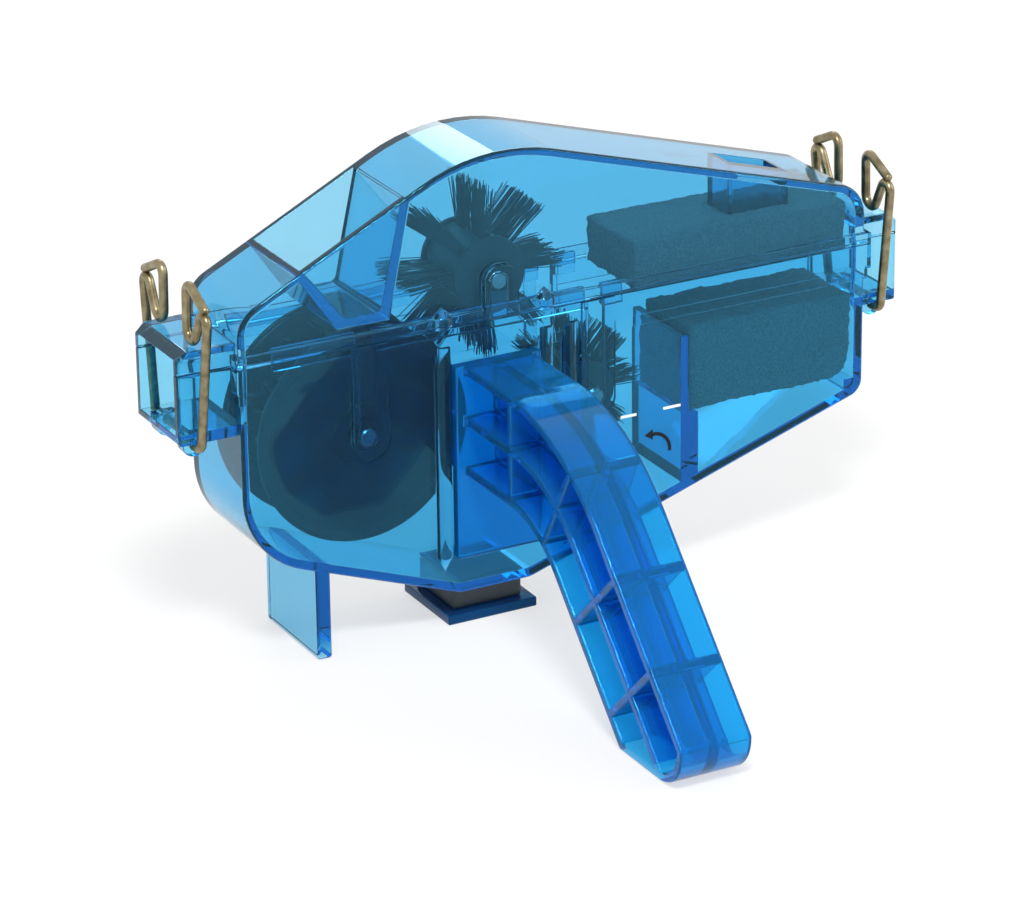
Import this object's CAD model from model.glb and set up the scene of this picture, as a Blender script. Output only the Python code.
# Hand-held bicycle chain cleaner: clear blue shell and cover, three turning brushes,
# two sponges, a magnet in a tray, a ribbed handle and two wire clips.
import math

import bmesh
import bpy
import numpy as np
from mathutils import Matrix, Vector


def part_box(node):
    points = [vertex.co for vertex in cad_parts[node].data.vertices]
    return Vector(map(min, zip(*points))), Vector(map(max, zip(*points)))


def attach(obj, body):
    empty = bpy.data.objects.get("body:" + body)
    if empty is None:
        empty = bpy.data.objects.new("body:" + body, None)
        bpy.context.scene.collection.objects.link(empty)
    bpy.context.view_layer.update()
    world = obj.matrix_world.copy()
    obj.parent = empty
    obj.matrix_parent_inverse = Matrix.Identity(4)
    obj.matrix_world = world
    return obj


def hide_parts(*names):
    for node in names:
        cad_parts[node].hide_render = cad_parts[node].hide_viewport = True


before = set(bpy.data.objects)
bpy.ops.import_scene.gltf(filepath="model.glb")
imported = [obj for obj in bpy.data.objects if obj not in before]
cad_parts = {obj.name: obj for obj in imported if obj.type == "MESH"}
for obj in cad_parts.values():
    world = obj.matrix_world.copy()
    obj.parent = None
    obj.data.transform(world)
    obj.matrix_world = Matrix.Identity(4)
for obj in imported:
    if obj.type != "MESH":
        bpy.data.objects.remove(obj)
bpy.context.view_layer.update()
mm = 0.001

# Camera: a long lens about a metre away, above the near side and to its left.
# Its place and turn were solved from the ends, seams and corners of the shell.
eye = np.array([-437.2, -838.1, 426.0]) * mm
azimuth, elevation, roll = np.radians([-28.161, 22.535, -0.640])
back = np.array([
    math.sin(azimuth) * math.cos(elevation),
    -math.cos(azimuth) * math.cos(elevation),
    math.sin(elevation),
])
level = np.array([math.cos(azimuth), math.sin(azimuth), 0.0])
upright = np.cross(back, level)
right = level * math.cos(roll) + upright * math.sin(roll)
up = upright * math.cos(roll) - level * math.sin(roll)
camera_data = bpy.data.cameras.new("camera")
camera_data.sensor_width = 36.0
camera_data.lens = 167.4
camera_data.clip_end = 10.0
camera = bpy.data.objects.new("camera", camera_data)
bpy.context.scene.collection.objects.link(camera)
camera.matrix_world = Matrix([
    [right[0], up[0], back[0], eye[0]],
    [right[1], up[1], back[1], eye[1]],
    [right[2], up[2], back[2], eye[2]],
    [0, 0, 0, 1],
])
bpy.context.scene.camera = camera


# Lower body: one clear blue moulding that holds the cleaning fluid, with a rim at its top,
# housings for two axles, ribs beside the handle, a foot and the lower halves of both ports.
# Its edges are eased where the mould was broken, and its walls are glossy both sides.
def add_object(name, mesh):
    """Links a mesh as an object at the origin."""
    piece = bpy.data.objects.new(name, mesh)
    bpy.context.scene.collection.objects.link(piece)
    return piece


merge_reach = 0.001 * mm
flat_angle = math.radians(0.3)
edge_angle = math.radians(35)


def eased_moulding(node, name, radius, fine, roomy, cuts=(), seat=None):
    """A merged copy of a CAD node with flat triangles joined, cut at x = cuts so that no flat
    face runs round a hole. Edges sharper than edge_angle are rounded: to radius where roomy
    says that the edge has room, else to fine. Normals are weighted so that flats stay flat.
    seat is (axis, place, gap): the face there draws back by the gap of air between mouldings."""
    bm = bmesh.new()
    bm.from_mesh(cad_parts[node].data)
    bmesh.ops.remove_doubles(bm, verts=bm.verts, dist=merge_reach)
    if seat:
        axis, place, gap = seat
        for vertex in bm.verts:
            if abs(vertex.co[axis] / mm - place) < 0.01:
                vertex.co[axis] += gap * mm
    for x in cuts:
        everything = bm.verts[:] + bm.edges[:] + bm.faces[:]
        made = bmesh.ops.bisect_plane(bm, geom=everything, dist=merge_reach,
                                      plane_co=(x * mm, 0, 0), plane_no=(1, 0, 0))
        for part in made["geom_cut"]:
            if isinstance(part, bmesh.types.BMEdge):
                part.seam = True
    bmesh.ops.dissolve_limit(bm, angle_limit=flat_angle, verts=bm.verts,
                             edges=bm.edges, delimit={"SEAM"})
    weight = bm.edges.layers.float.new("bevel_weight_edge")
    for edge in bm.edges:
        if edge.calc_face_angle(0.0) > edge_angle:
            edge[weight] = 1.0 if roomy(edge) else fine / radius
    for face in bm.faces:
        face.smooth = True
    mesh = bpy.data.meshes.new(name)
    bm.to_mesh(mesh)
    bm.free()
    piece = add_object(name, mesh)
    easing = piece.modifiers.new("edges", "BEVEL")
    easing.limit_method = "WEIGHT"
    easing.width = radius
    easing.segments = 2
    easing.use_clamp_overlap = False
    easing.loop_slide = False
    weighted = piece.modifiers.new("normals", "WEIGHTED_NORMAL")
    weighted.keep_sharp = False
    weighted.weight = 50
    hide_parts(node)
    return piece


wall_y = 12.5
band_low, band_high = 61.0, 71.5
port_left, port_right, port_y = -59.7, 92.3, 10.4


def outline_edge(edge):
    """An outer edge of a near or far wall, clear of the band at the seam, or of a port."""
    x = [v.co.x / mm for v in edge.verts]
    y = [abs(v.co.y) / mm for v in edge.verts]
    z = [v.co.z / mm for v in edge.verts]
    on_wall = max(abs(place - wall_y) for place in y) < 0.05
    clear_of_band = max(z) < band_low or min(z) > band_high
    on_port = (max(x) < port_left or min(x) > port_right) and min(y) > port_y
    return edge.is_convex and (on_wall and clear_of_band or on_port)


def new_material(name):
    """An empty node material, returned with its tree and Principled shader."""
    material = bpy.data.materials.new(name)
    material.use_nodes = True
    tree = material.node_tree
    return material, tree, tree.nodes["Principled BSDF"]


def noise(tree, scale, detail=2.0, stretch=(1.0, 1.0, 1.0)):
    """Soft random pattern on Object coordinates, scale in cells per metre."""
    place = tree.nodes.new("ShaderNodeTexCoord")
    turn = tree.nodes.new("ShaderNodeMapping")
    turn.inputs["Scale"].default_value = stretch
    pattern = tree.nodes.new("ShaderNodeTexNoise")
    pattern.inputs["Scale"].default_value = scale
    pattern.inputs["Detail"].default_value = detail
    tree.links.new(place.outputs["Object"], turn.inputs["Vector"])
    tree.links.new(turn.outputs["Vector"], pattern.inputs["Vector"])
    return pattern.outputs["Fac"]


def between(tree, value, low, high, start=0.3, end=0.7):
    """Maps a pattern's usual range start to end onto low to high."""
    ramp = tree.nodes.new("ShaderNodeMapRange")
    ramp.inputs["From Min"].default_value = start
    ramp.inputs["From Max"].default_value = end
    ramp.inputs["To Min"].default_value = low
    ramp.inputs["To Max"].default_value = high
    tree.links.new(value, ramp.inputs["Value"])
    return ramp.outputs["Result"]


def raised(tree, shader, value, height):
    """Bumps a shader by a pattern, height in metres."""
    bump = tree.nodes.new("ShaderNodeBump")
    bump.inputs["Distance"].default_value = height
    bump.inputs["Strength"].default_value = 1.0
    tree.links.new(value, bump.inputs["Height"])
    tree.links.new(bump.outputs["Normal"], shader.inputs["Normal"])


plastic_ior = 1.49
reflection_tint = (0.10, 0.60, 0.88)


def clear_plastic(name, tint, taken, clear, rough):
    """Tinted clear plastic: a tint at each wall, and a depth d in metres passes exp(-taken * d)
    of each colour. Its roughness and surface vary slowly, as flow marks do."""
    material, tree, shader = new_material(name)
    shader.inputs["Base Color"].default_value = (*tint, 1)
    shader.inputs["Transmission Weight"].default_value = clear
    shader.inputs["IOR"].default_value = plastic_ior
    shader.inputs["Specular Tint"].default_value = (*reflection_tint, 1)
    tree.links.new(between(tree, noise(tree, 160.0), rough * 0.6, rough * 1.6),
                   shader.inputs["Roughness"])
    raised(tree, shader, noise(tree, 55.0, 1.0, (1.0, 1.0, 1.6)), 0.06 * mm)
    depth = tree.nodes.new("ShaderNodeVolumeAbsorption")
    density = max(taken) * 1.02
    passed = [1 - share / density for share in taken]
    depth.inputs["Color"].default_value = (*passed, 1)
    depth.inputs["Density"].default_value = density
    tree.links.new(depth.outputs["Volume"], tree.nodes["Material Output"].inputs["Volume"])
    return material


shell_plastic = clear_plastic(
    "shell_plastic", tint=(0.36, 0.76, 0.93), taken=(230, 78, 26), clear=0.98, rough=0.02)
housing_x = (-29.7, 1.3, 24.3)
end_wall_x = -57.8
lower_body = eased_moulding(
    "lower_body", "lower_body_shell", 0.7 * mm, 0.15 * mm, outline_edge,
    (end_wall_x, *housing_x))
lower_body.data.materials.append(shell_plastic)
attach(lower_body, "body")


# Cover: a thinner clear moulding of the same blue, arched over the upper brush, with an open
# pocket between its side plates and a slot at the top for pouring in the fluid.
cover_plastic = clear_plastic(
    "cover_plastic", tint=(0.40, 0.76, 0.93), taken=(170, 66, 26), clear=0.98, rough=0.015)
air = 0.06
seam_z, tank_floor_z = 69.0, 8.0
cover = eased_moulding("cover", "cover_shell", 0.7 * mm, 0.25 * mm, outline_edge,
                       (housing_x[1],), (2, seam_z, air))
cover.data.materials.append(cover_plastic)
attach(cover, "body")


# Handle: a deeper blue moulding of plates and cross ribs, bent down like a pistol grip.
# Its many thick edges carry soft highlights. All its edges have room for the same rounding.
handle_plastic = clear_plastic(
    "handle_plastic", tint=(0.03, 0.46, 0.88), taken=(420, 130, 36), clear=0.86, rough=0.05)
handle = eased_moulding("handle", "handle_grip", 0.5 * mm, 0.5 * mm, lambda edge: True,
                        seat=(1, -wall_y, -air))
handle.data.materials.append(handle_plastic)
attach(handle, "body")


# Magnet tray: a flat plate of deep blue plastic under the magnet, with one upright edge.
tray_plastic = clear_plastic(
    "tray_plastic", tint=(0.003, 0.035, 0.13), taken=(700, 300, 90), clear=0.15, rough=0.08)
tray = eased_moulding("magnet_tray", "tray_plate", 0.35 * mm, 0.35 * mm, lambda edge: True,
                      seat=(2, tank_floor_z, -air))
tray.data.materials.append(tray_plastic)
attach(tray, "body")


# Magnet: a sintered block with slightly broken edges and a fine dark grain, held in the tray
# so that it catches the steel dust from the chain.
def grid_faces(rows, columns, wrap_rows=False, wrap_columns=False):
    """Quads over a grid of points numbered row by row, wrapped round where asked."""
    i = np.arange(rows if wrap_rows else rows - 1)
    j = np.arange(columns if wrap_columns else columns - 1)
    i, j = np.meshgrid(i, j, indexing="ij")
    k, l = (i + 1) % rows, (j + 1) % columns
    quads = np.stack([i * columns + j, i * columns + l, k * columns + l, k * columns + j], -1)
    return quads.reshape(-1, 4)


def surface(name, points, quads, caps=(), smooth=True):
    """A mesh of quads, and of single faces for the caps, given in metres."""
    faces = [tuple(q) for q in quads.tolist()] + [tuple(c) for c in caps]
    mesh = bpy.data.meshes.new(name)
    mesh.from_pydata(points.reshape(-1, 3).tolist(), [], faces)
    mesh.update()
    mesh.polygons.foreach_set("use_smooth", np.full(len(mesh.polygons), smooth))
    return add_object(name, mesh)


def block(low, high, radius, cells, grain=None):
    """A box with rounded edges: every point of a gridded cube is held inside the box made
    smaller by radius, then pushed out by radius towards where it was. grain moves the points
    along that direction."""
    low, high = np.array(low), np.array(high)
    cells = np.array(cells)
    found, quads, count = [], [], 0
    for axis in range(3):
        u, v = [a for a in range(3) if a != axis]
        if axis == 1:
            u, v = v, u
        for side in (0, 1):
            a = np.linspace(0, 1, cells[u] + 1)
            b = np.linspace(0, 1, cells[v] + 1)
            a, b = np.meshgrid(a, b, indexing="ij")
            p = np.zeros(a.shape + (3,))
            p[..., u], p[..., v], p[..., axis] = a, b, side
            found.append(p.reshape(-1, 3))
            q = grid_faces(cells[u] + 1, cells[v] + 1) + count
            quads.append(q if side == 0 else q[:, ::-1])
            count += a.size
    unit = np.concatenate(found)
    first, inverse = np.unique(
        np.round(unit * 1e5).astype(np.int64), axis=0, return_index=True,
        return_inverse=True)[1:]
    p = low + unit[first] * (high - low)
    held = np.clip(p, low + radius, high - radius)
    out = p - held
    out /= np.linalg.norm(out, axis=1, keepdims=True)
    p = held + out * radius
    if grain is not None:
        p = p + out * grain(p)[:, None]
    return p, inverse.reshape(-1)[np.concatenate(quads)]


ferrite, tree, shader = new_material("ferrite")
shader.inputs["Base Color"].default_value = (0.030, 0.042, 0.050, 1)
tree.links.new(between(tree, noise(tree, 900.0), 0.42, 0.65), shader.inputs["Roughness"])
raised(tree, shader, noise(tree, 2600.0), 0.05 * mm)
low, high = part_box("magnet")
low.z += air / 2 * mm
high.z -= air * mm
magnet_ease = 0.4 * mm
points, quads = block(low, high, magnet_ease, (14, 14, 8))
magnet = surface("magnet_block", points, quads)
magnet.data.materials.append(ferrite)
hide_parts("magnet")
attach(magnet, "body")


# Sponges: two blocks of open-cell foam cut from sheet, which wipe and catch the dirty fluid.
# The lower one stands in the tank behind the partition, the upper one hangs under the cover.
def ripple(points, step, seed):
    """Smooth random heights from -1 to 1: many waves of about that length, each in a
    direction and phase of its own."""
    rng = np.random.default_rng(seed)
    count = 24
    waves = rng.normal(size=(count, 3))
    waves *= 2 * math.pi / step / np.linalg.norm(waves, axis=1, keepdims=True)
    waves *= rng.uniform(0.6, 1.5, (count, 1))
    phase = rng.uniform(0, 2 * math.pi, count)
    return np.sin(points @ waves.T + phase).sum(1) / math.sqrt(count)


def foam_grain(points):
    """Pores less than 2 mm apart and a slow swell over the block."""
    return 0.16 * mm * ripple(points, 1.7 * mm, 3) + 0.12 * mm * ripple(points, 9 * mm, 4)


foam, tree, shader = new_material("foam")
cells = tree.nodes.new("ShaderNodeTexVoronoi")
cells.inputs["Scale"].default_value = 1900.0
place = tree.nodes.new("ShaderNodeTexCoord")
tree.links.new(place.outputs["Object"], cells.inputs["Vector"])
shade = tree.nodes.new("ShaderNodeMix")
shade.data_type = "RGBA"
shade.inputs[6].default_value = (0.17, 0.165, 0.16, 1)
shade.inputs[7].default_value = (0.26, 0.25, 0.24, 1)
tree.links.new(between(tree, cells.outputs["Distance"], 0.0, 1.0, 0.1, 0.7), shade.inputs[0])
tree.links.new(shade.outputs[2], shader.inputs["Base Color"])
shader.inputs["Roughness"].default_value = 0.95
raised(tree, shader, cells.outputs["Distance"], 0.12 * mm)

low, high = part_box("sponge_lower")
size = np.array(high) - np.array(low)
margin = 0.3 * mm
foam_cell = 0.8 * mm
points, quads = block(
    np.array(low) + margin, np.array(high) - margin, foam_cell,
    [int(n) for n in np.ceil(size / foam_cell)], foam_grain)

# The lower sponge's bottom corner at the right is cut round, to the tank's own corner: points
# there move in along their ray from the corner's centre, from the square to the circle.
corner = 6 * mm
centre = np.array([high[0] - margin - corner, low[2] + margin + corner])
off = points[:, [0, 2]] - centre
inside = (off[:, 0] > 0) & (off[:, 1] < 0)
reach = np.linalg.norm(off, axis=1)
square = np.maximum(np.abs(off[:, 0]), np.abs(off[:, 1]))
scale = np.where(inside & (reach > 0), square / np.maximum(reach, 1e-9), 1.0)
points[:, [0, 2]] = centre + off * scale[:, None]
sponge_lower = surface("sponge_in_tank", points, quads)
sponge_lower.data.materials.append(foam)
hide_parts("sponge_lower")
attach(sponge_lower, "body")


foam_rim = 18 * mm


def foam_frame(low, high, hole_low, hole_high, step):
    """A block with an upright hole: its section loop, out along the bottom, up, in along the
    top and down, is carried round from the hole's rectangle to the block's rectangle."""
    low, high = np.array(low), np.array(high)
    corners = np.array([[0, 0], [1, 0], [1, 1], [0, 1], [0, 0]], float)
    longest = max(high[:2] - low[:2])
    n = int(math.ceil(longest / step))
    along = np.concatenate([
        corners[k] + (corners[k + 1] - corners[k]) * (np.arange(n) / n)[:, None]
        for k in range(4)])
    outer = low[:2] + along * (high[:2] - low[:2])
    inner = hole_low + along * (hole_high - hole_low)
    m = int(math.ceil(foam_rim / step))
    h = max(2, int(math.ceil((high[2] - low[2]) / step)))
    share = np.concatenate([np.arange(m) / m, np.ones(h), 1 - np.arange(m) / m, np.zeros(h)])
    level = np.concatenate([np.zeros(m), np.arange(h) / h, np.ones(m), 1 - np.arange(h) / h])
    flat = inner[None] + (outer - inner)[None] * share[:, None, None]
    z = low[2] + level * (high[2] - low[2])
    points = np.concatenate([flat, np.broadcast_to(z[:, None, None], flat.shape[:2] + (1,))], -1)
    return points.reshape(-1, 3), grid_faces(len(share), 4 * n, True, True)


low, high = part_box("sponge_upper")
hole_low = np.array([61.05, -4.5]) * mm
hole_high = np.array([76.15, 4.5]) * mm
frame_cell = 0.9 * mm
points, quads = foam_frame(
    np.array(low) + margin, np.array(high) - margin, hole_low - margin, hole_high + margin,
    frame_cell)
centre = (np.array(low) + np.array(high)) / 2
out = (points - centre) / (np.array(high) - np.array(low))
out /= np.linalg.norm(out, axis=1, keepdims=True)
points = points + out * foam_grain(points)[:, None]
sponge_upper = surface("sponge_under_cover", points, quads)
sponge_upper.data.materials.append(foam)
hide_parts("sponge_upper")
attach(sponge_upper, "body")


# Brush axles: three turned steel rods with broken ends, which turn in the housings of the
# near and far walls.
def spun(x, z, profile, steps):
    """Points of a profile of (radius, along) in millimetres spun about a line along Y through
    x and z: each point goes round a circle of its own radius."""
    profile = np.array(profile, float) * mm
    angle = np.arange(steps) * 2 * math.pi / steps
    return np.stack([
        x + profile[:, :1] * np.cos(angle),
        np.broadcast_to(profile[:, 1:], (len(profile), steps)),
        z + profile[:, :1] * np.sin(angle)], -1)


def turned(name, x, z, profile, steps, closed):
    """A spun surface, joined to its own start if the profile is closed, else capped."""
    points = spun(x, z, profile, steps)
    quads = grid_faces(len(profile), steps, wrap_rows=closed, wrap_columns=True)
    last = (len(profile) - 1) * steps
    caps = () if closed else (range(steps - 1, -1, -1), range(last, last + steps))
    return surface(name, points, quads, caps)


def crisp(piece, angle):
    """Keeps edges sharper than angle degrees crisp, and the rest smooth."""
    piece.data.set_sharp_from_angle(angle=math.radians(angle))


steel, tree, shader = new_material("steel")
shader.inputs["Base Color"].default_value = (0.34, 0.34, 0.35, 1)
shader.inputs["Metallic"].default_value = 1.0
tree.links.new(between(tree, noise(tree, 700.0, 3.0, (1.0, 6.0, 1.0)), 0.22, 0.42),
               shader.inputs["Roughness"])
raised(tree, shader, noise(tree, 900.0, 2.0, (1.0, 5.0, 1.0)), 0.01 * mm)
axle_r, axle_break = 1.98, 0.38
brushes = {}
for brush in ("side", "upper", "lower"):
    low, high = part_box(brush + "_axle")
    x, z, half = (low[0] + high[0]) / 2, (low[2] + high[2]) / 2, high[1] / mm
    brushes[brush] = (x, z)
    rod = turned(brush + "_axle_rod", x, z, [
        (axle_r - axle_break, -half), (axle_r, -half + 0.4), (axle_r, half - 0.4),
        (axle_r - axle_break, half)], 48, False)
    crisp(rod, 30.0)
    rod.data.materials.append(steel)
    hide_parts(brush + "_axle")
    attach(rod, brush + "_brush")


# Brush cores, end discs and side discs: black nylon mouldings pressed on the axles. The end
# discs stand a little proud of their core, and each side disc is a thin dished plate.
nylon, tree, shader = new_material("nylon")
shader.inputs["Base Color"].default_value = (0.022, 0.022, 0.024, 1)
tree.links.new(between(tree, noise(tree, 300.0, 3.0), 0.35, 0.55), shader.inputs["Roughness"])
raised(tree, shader, noise(tree, 1400.0, 2.0), 0.03 * mm)


ring_steps = 96
core_radius = {"upper": 7.6, "lower": 5.6}
core_half, end_thick, sleeve = 6.6, 1.2, 0.7


def ringed(inner, outer, y0, y1, ease):
    """Profile of a ring with eased outer edges."""
    return [(inner, y0), (outer - ease, y0), (outer - ease * 0.3, y0 + ease * 0.3),
            (outer, y0 + ease), (outer, y1 - ease), (outer - ease * 0.3, y1 - ease * 0.3),
            (outer - ease, y1), (inner, y1)]


def nylon_piece(name, brush, profile, node):
    """A closed ring of black nylon on one brush, standing for one node."""
    piece = turned(name, *brushes[brush], profile, ring_steps, True)
    crisp(piece, 30.0)
    piece.data.materials.append(nylon)
    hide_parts(node)
    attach(piece, brush + "_brush")


for brush, core in core_radius.items():
    nylon_piece(brush + "_brush_core", brush,
                ringed(axle_r, core - sleeve, -core_half, core_half, 0.3), brush + "_core")
    for side, sign in (("near", -1), ("far", 1)):
        y0, y1 = sorted((sign * core_half, sign * (core_half + end_thick)))
        nylon_piece(f"{brush}_brush_end_{side}", brush,
                    ringed(axle_r, core + 0.8, y0, y1, 0.3), f"{brush}_end_{side}")
nylon_piece("side_brush_hub", "side", [
    (axle_r, -9.1), (3.1, -9.1), (3.4, -8.8), (3.4, -7.1), (5.0, -7.1), (5.0, 7.1),
    (3.4, 7.1), (3.4, 8.8), (3.1, 9.1), (axle_r, 9.1)], "side_hub")
hub_r, disc_r, dish = 3.4, 24.0, 0.35
inner, outer = 7.8, 9.1
for side, sign in (("near", -1), ("far", 1)):
    profile = [
        (hub_r, inner), (20.6, inner), (21.2, inner + 0.1), (disc_r - 0.3, inner + 0.1),
        (disc_r, inner + 0.4), (disc_r, outer - dish), (disc_r - dish, outer), (21.6, outer),
        (21.0, outer - dish), (7.2, outer - dish), (6.6, outer), (hub_r, outer)]
    profile = [(r, sign * y) for r, y in profile]
    nylon_piece(f"side_brush_disc_{side}", "side", profile if sign > 0 else profile[::-1],
                f"side_disc_{side}")


# Bristles: black nylon filament set in tufts. On the upper and lower brushes the tufts stand
# in eight paddles as wide as the core; on the side discs they stand in three rings and point
# at the chain. Each strand bends a little and they flare towards their tips.
filament, tree, shader = new_material("filament")
tree.links.new(between(tree, noise(tree, 500.0, 2.0), 0.32, 0.5), shader.inputs["Roughness"])
shader.inputs["Base Color"].default_value = (0.026, 0.028, 0.032, 1)
shader.inputs["Sheen Weight"].default_value = 0.2


strand_r = 0.14 * mm
strand_rings, strand_sides = 4, 3


def strands(roots, tips, bends):
    """Thin prisms from root to tip: the middle of each follows a straight line plus its bend
    times the square of the share travelled, and tapers by a fifth to its tip."""
    t = np.linspace(0, 1, strand_rings)
    middle = roots[:, None] + (tips - roots)[:, None] * t[None, :, None]
    middle = middle + bends[:, None] * (t * t)[None, :, None]
    way = tips - roots
    way = way / np.linalg.norm(way, axis=1, keepdims=True)
    side = np.cross(way, np.where(np.abs(way[:, :1]) < 0.8, [[1.0, 0, 0]], [[0, 1.0, 0]]))
    side = side / np.linalg.norm(side, axis=1, keepdims=True)
    other = np.cross(way, side)
    angle = np.arange(strand_sides) * 2 * math.pi / strand_sides
    spoke = (side[:, None] * np.cos(angle)[None, :, None]
             + other[:, None] * np.sin(angle)[None, :, None])
    width = strand_r * (1 - 0.2 * t)
    points = middle[:, :, None] + spoke[:, None] * width[None, :, None, None]
    one = grid_faces(strand_rings, strand_sides, wrap_columns=True)
    count, size = len(roots), strand_rings * strand_sides
    start = np.arange(count)[:, None, None] * size
    quads = (one[None] + start).reshape(-1, 4)
    foot = np.arange(strand_sides)[::-1]
    caps = np.concatenate([foot + start[:, 0], foot[::-1] + size - strand_sides + start[:, 0]])
    return points.reshape(-1, 3), quads, caps


def bristle_piece(name, brush, node, points, quads, caps, ring):
    """One piece of strands with the thin ring that they stand in."""
    sleeve_points, sleeve_quads = ring
    sleeve_quads = sleeve_quads + len(points)
    piece = surface(name, np.concatenate([points, sleeve_points]),
                    np.concatenate([quads, sleeve_quads]), caps.tolist())
    crisp(piece, 50.0)
    piece.data.materials.append(filament)
    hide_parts(node)
    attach(piece, brush + "_brush")


def spun_ring(x, z, profile):
    """Points and quads of a closed ring spun about a line along Y, in metres."""
    points = spun(x, z, profile, ring_steps).reshape(-1, 3)
    return points, grid_faces(len(profile), ring_steps, True, True)


rng = np.random.default_rng(11)
paddles, rows, per_tuft, row_step = 8, 5, 26, 2.7
root_wide, tip_wide, root_long, tip_long = 1.0, 2.0, 0.9, 1.5
tip_limit, ragged_share = 6.9, 0.06
tip_radius = {"upper": 19.0, "lower": 14.5}
for brush, core in core_radius.items():
    x, z = brushes[brush]
    paddle, row = [a.ravel() for a in np.meshgrid(
        np.arange(paddles), np.arange(rows), np.arange(per_tuft), indexing="ij")[:2]]
    count = len(paddle)
    lean = rng.normal(0, 0.02, (paddles, rows))[paddle, row]
    spin = paddle * 2 * math.pi / paddles + lean
    across, along = rng.uniform(-1, 1, (2, count))
    y = (row - (rows - 1) / 2) * row_step
    flare = rng.normal(0, 0.25, (2, count))
    root_across, root_y = across * root_wide, y + along * root_long
    tip_across = across * tip_wide + flare[0]
    tip_y = np.clip(y * 1.04 + along * tip_long + flare[1], -tip_limit, tip_limit)
    reach = tip_radius[brush] * (1 - rng.uniform(0.0, 0.06, count)) - 0.25
    ragged = rng.random(count) < ragged_share
    reach = np.where(ragged, reach * 0.9, reach)

    def placed(radial, sideways, level):
        """Point at a height along its paddle, sideways round the core, level along it."""
        return np.stack([
            x + mm * (radial * np.sin(spin) + sideways * np.cos(spin)), mm * level,
            z + mm * (radial * np.cos(spin) - sideways * np.sin(spin))], -1)

    roots = placed(np.full(count, core - 0.4), root_across, root_y)
    tips = placed(np.sqrt(np.maximum(reach ** 2 - tip_across ** 2, 1)), tip_across, tip_y)
    bends = rng.normal(0, 0.12 * mm, (count, 3))
    bristle_piece(brush + "_brush_bristles", brush, brush + "_bristles",
                  *strands(roots, tips, bends),
                  spun_ring(x, z, ringed(core - sleeve, core, -core_half, core_half, 0.15)))

x, z = brushes["side"]
disc_rings, disc_holes, per_hole = 3, 18, 16
first_ring, ring_gap, disc_face, disc_bristle = 14, 3.2, 7.5, 4.2
for side, sign in (("near", -1), ("far", 1)):
    ring, hole = [a.ravel() for a in np.meshgrid(
        np.arange(disc_rings), np.arange(disc_holes), np.arange(per_hole), indexing="ij")[:2]]
    count = len(ring)
    angle = (hole + ring / 2) * 2 * math.pi / disc_holes
    radial = first_ring + ring * ring_gap
    spread = rng.uniform(-0.75, 0.75, (2, count))
    flare = spread * 0.7 + rng.normal(0, 0.12, (2, count))

    def on_disc(r, a, s, level):
        """Point at radius r and angle a on a disc, moved by s, level along the axle."""
        return np.stack([
            x + mm * (r * np.cos(a) + s[0]), mm * level, z + mm * (r * np.sin(a) + s[1])], -1)

    roots = on_disc(radial, angle, spread, np.full(count, sign * disc_face))
    length = disc_bristle * (1 - rng.uniform(0, 0.08, count))
    tips = on_disc(radial, angle, spread + flare, sign * (disc_face - length))
    bends = rng.normal(0, 0.08 * mm, (count, 3)) * np.array([1, 0, 1])
    y0, y1 = sorted((sign * 7.1, sign * 7.8))
    bristle_piece(f"side_brush_bristles_{side}", "side", f"side_bristles_{side}",
                  *strands(roots, tips, bends),
                  spun_ring(x, z, ringed(hub_r, disc_r - 0.4, y0, y1, 0.2)))


# Wire clips: one spring wire each, plated yellow and gone dull, running through the lugs
# under a port, up both sides, over the port in a hook and back into a finger loop.
plated, tree, shader = new_material("plated")
shader.inputs["Metallic"].default_value = 1.0
tone = tree.nodes.new("ShaderNodeMix")
tone.data_type = "RGBA"
tone.inputs[6].default_value = (0.17, 0.135, 0.070, 1)
tone.inputs[7].default_value = (0.36, 0.31, 0.19, 1)
tree.links.new(between(tree, noise(tree, 420.0, 4.0), 0.0, 1.0), tone.inputs[0])
tree.links.new(tone.outputs[2], shader.inputs["Base Color"])
tree.links.new(between(tree, noise(tree, 260.0, 3.0), 0.25, 0.45), shader.inputs["Roughness"])
raised(tree, shader, noise(tree, 1500.0, 3.0), 0.02 * mm)


def arc(y, z, r, a0, a1):
    """Points on a circle about y and z, from angle a0 to a1 in degrees."""
    a = np.radians(np.linspace(a0, a1, max(3, int(abs(a1 - a0) / 6))))
    return np.stack([y + r * np.cos(a), z + r * np.sin(a)], -1)


def evenly(path, step):
    """The path cut into equal steps along its length."""
    gone = np.concatenate([[0], np.cumsum(np.linalg.norm(np.diff(path, axis=0), axis=1))])
    want = np.linspace(0, gone[-1], int(gone[-1] / step) + 1)
    return np.stack([np.interp(want, gone, path[:, k]) for k in range(path.shape[1])], -1)


leg_y, top_y, hook_y, loop_y, end_y = 11.8, 15.4, 7.8, 7.4, 15
top_z, hook_z, loop_z = 28.3, 22.8, 34.5
foot_r, top_r, hook_r, loop_r = 2, 1.67, 2.2, 1.8
half = np.concatenate([
    [[0, 0]], arc(leg_y - foot_r, foot_r, foot_r, -90, 0),
    arc(top_y - top_r, top_z, top_r, 0, 140), arc(hook_y, hook_z + hook_r, hook_r, -30, -180),
    arc(loop_y, loop_z - loop_r, loop_r, 180, 70), [[end_y, loop_z - 3.4]]])
half = evenly(half, 0.25)
soft = np.exp(-np.arange(-4, 5) ** 2 / 8.0)
soft /= soft.sum()
rounded = half.copy()
for k in (0, 1):
    rounded[4:-4, k] = np.convolve(half[:, k], soft, "valid")
whole = np.concatenate([rounded[:0:-1] * [-1, 1], rounded])
lead = np.gradient(whole, axis=0)
lead /= np.linalg.norm(lead, axis=1, keepdims=True)
normal = np.stack([lead[:, 1], -lead[:, 0]], -1)
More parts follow.
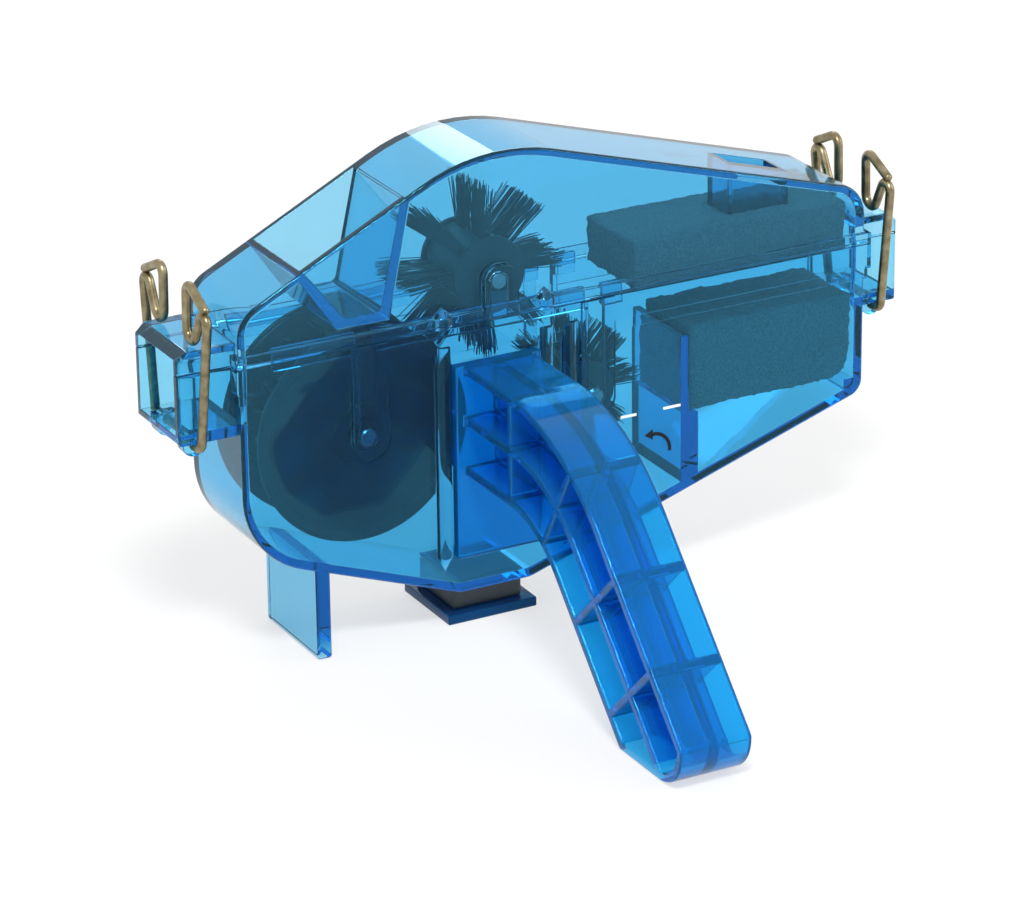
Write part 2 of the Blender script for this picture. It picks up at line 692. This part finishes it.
wire_r, sides = 1.0, 24
angle = np.arange(sides) * 2 * math.pi / sides
thick = np.full(len(whole), wire_r)
thick[[0, -1]] = wire_r * 0.72
thick[[1, -2]] = wire_r * 0.94
in_plane = whole[:, None] + normal[:, None] * (thick[:, None] * np.cos(angle))[..., None]
sideways = thick[:, None] * np.sin(angle)
pin_z = 52.5
for node, bail, pin_x, lean in (
        ("clip_left", "left_bail", -67.3, 1.0), ("clip_right", "right_bail", 96.1, -1.0)):
    c, s = math.cos(math.radians(lean)), math.sin(math.radians(lean))
    z = in_plane[..., 1]
    points = np.stack([
        pin_x + sideways * c + z * s, in_plane[..., 0], pin_z - sideways * s + z * c], -1) * mm
    last = (len(whole) - 1) * sides
    clip = surface(node + "_wire", points, grid_faces(len(whole), sides, wrap_columns=True),
                   (range(sides - 1, -1, -1), range(last, last + sides)))
    crisp(clip, 40.0)
    clip.data.materials.append(plated)
    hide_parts(node)
    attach(clip, bail)


# Marks on the near wall: two short white lines for the highest level of the fluid, and a
# dark arrow for the way the chain is driven. They are printed straight on the plastic.
ink_face, ink_back = -12.56, -12.48


def printed(name, outline, colour):
    """A flat mark of ink: an outline of (along, up) points, as thick as a coat of ink."""
    outline = np.array(outline, float)
    n = len(outline)
    points = np.concatenate([
        np.stack([outline[:, 0], np.full(n, y), outline[:, 1]], -1) for y in (ink_face, ink_back)
    ]) * mm
    around = np.arange(n)
    quads = np.stack([around, around + n, (around + 1) % n + n, (around + 1) % n], -1)
    piece = surface(name, points, quads, (range(n), range(2 * n - 1, n - 1, -1)), smooth=False)
    ink, tree, shader = new_material(name + "_ink")
    shader.inputs["Base Color"].default_value = (*colour, 1)
    shader.inputs["Specular IOR Level"].default_value = 0.2
    tree.links.new(between(tree, noise(tree, 1200.0), 0.45, 0.7), shader.inputs["Roughness"])
    piece.data.materials.append(ink)
    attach(piece, "body")


fill_low, fill_high = 40.15, 40.75
for name, x0, x1 in (("fill_mark_left", 30.3, 34.2), ("fill_mark_right", 40.8, 45.1)):
    printed(name, [(x0, fill_low), (x1, fill_low), (x1, fill_high), (x0, fill_high)],
            (0.85, 0.86, 0.86))
swing = np.radians(np.linspace(-8, 92, 24))
bow = np.stack([np.cos(swing), np.sin(swing)], -1)
middle = np.array([38.4, 31.0])
outer_edge = middle + 4.4 * bow
inner_edge = middle + 3.6 * bow[::-1]
head = np.array([[38.2, 36.2], [36.2, 35.0], [38.2, 33.8]])
printed("turn_arrow", np.concatenate([outer_edge, head, inner_edge]), (0.006, 0.008, 0.012))


# Floor, studio light and white surround. The floor keeps the object's shadow.
def seen_rays(tree):
    """1 for camera, glossy and transmission rays, 0 for the rays that only light things."""
    ray = tree.nodes.new("ShaderNodeLightPath")
    most = ray.outputs["Is Camera Ray"]
    for kind in ("Is Glossy Ray", "Is Transmission Ray"):
        larger = tree.nodes.new("ShaderNodeMath")
        larger.operation = "MAXIMUM"
        tree.links.new(most, larger.inputs[0])
        tree.links.new(ray.outputs[kind], larger.inputs[1])
        most = larger.outputs[0]
    return most


mesh = bpy.data.meshes.new("floor")
mesh.from_pydata([(-4, -4, 0), (4, -4, 0), (4, 4, 0), (-4, 4, 0)], [], [(0, 1, 2, 3)])
floor = add_object("floor", mesh)
floor_white, world_light = 0.62, 0.72
paper, tree, shader = new_material("paper")
shader.inputs["Base Color"].default_value = (0.88, 0.88, 0.88, 1)
shader.inputs["Roughness"].default_value = 0.7
lit = tree.nodes.new("ShaderNodeEmission")
lit.inputs["Strength"].default_value = 1.0
share = tree.nodes.new("ShaderNodeMath")
share.operation = "MULTIPLY"
share.inputs[1].default_value = floor_white
tree.links.new(seen_rays(tree), share.inputs[0])
mix = tree.nodes.new("ShaderNodeMixShader")
tree.links.new(share.outputs[0], mix.inputs[0])
tree.links.new(shader.outputs[0], mix.inputs[1])
tree.links.new(lit.outputs[0], mix.inputs[2])
tree.links.new(mix.outputs[0], tree.nodes["Material Output"].inputs["Surface"])
mesh.materials.append(paper)

world = bpy.data.worlds.new("studio")
bpy.context.scene.world = world
world.use_nodes = True
tree = world.node_tree
strength = tree.nodes.new("ShaderNodeMapRange")
strength.inputs["To Min"].default_value = world_light
strength.inputs["To Max"].default_value = 1.0
tree.links.new(seen_rays(tree), strength.inputs["Value"])
tree.nodes["Background"].inputs["Color"].default_value = (1, 1, 1, 1)
tree.links.new(strength.outputs["Result"], tree.nodes["Background"].inputs["Strength"])


def soft_box(name, place, size, power):
    """A square lamp that faces the object's middle."""
    data = bpy.data.lights.new(name, "AREA")
    data.shape = "RECTANGLE"
    data.size, data.size_y = size
    data.energy = power
    lamp = bpy.data.objects.new(name, data)
    bpy.context.scene.collection.objects.link(lamp)
    turn = (Vector((0, 0, 0.05)) - Vector(place)).to_track_quat("-Z", "Y")
    lamp.matrix_world = Matrix.Translation(place) @ turn.to_matrix().to_4x4()


soft_box("key", (-0.28, -0.62, 0.97), (0.3, 0.22), 8)
soft_box("glint", (-0.27, -0.60, 0.93), (0.12, 0.09), 1.2)
soft_box("back", (0.5, 0.95, 0.7), (0.5, 0.3), 2)
soft_box("fill", (0.9, -0.5, 0.5), (0.4, 0.6), 3)
bpy.context.scene.view_settings.view_transform = "Standard"
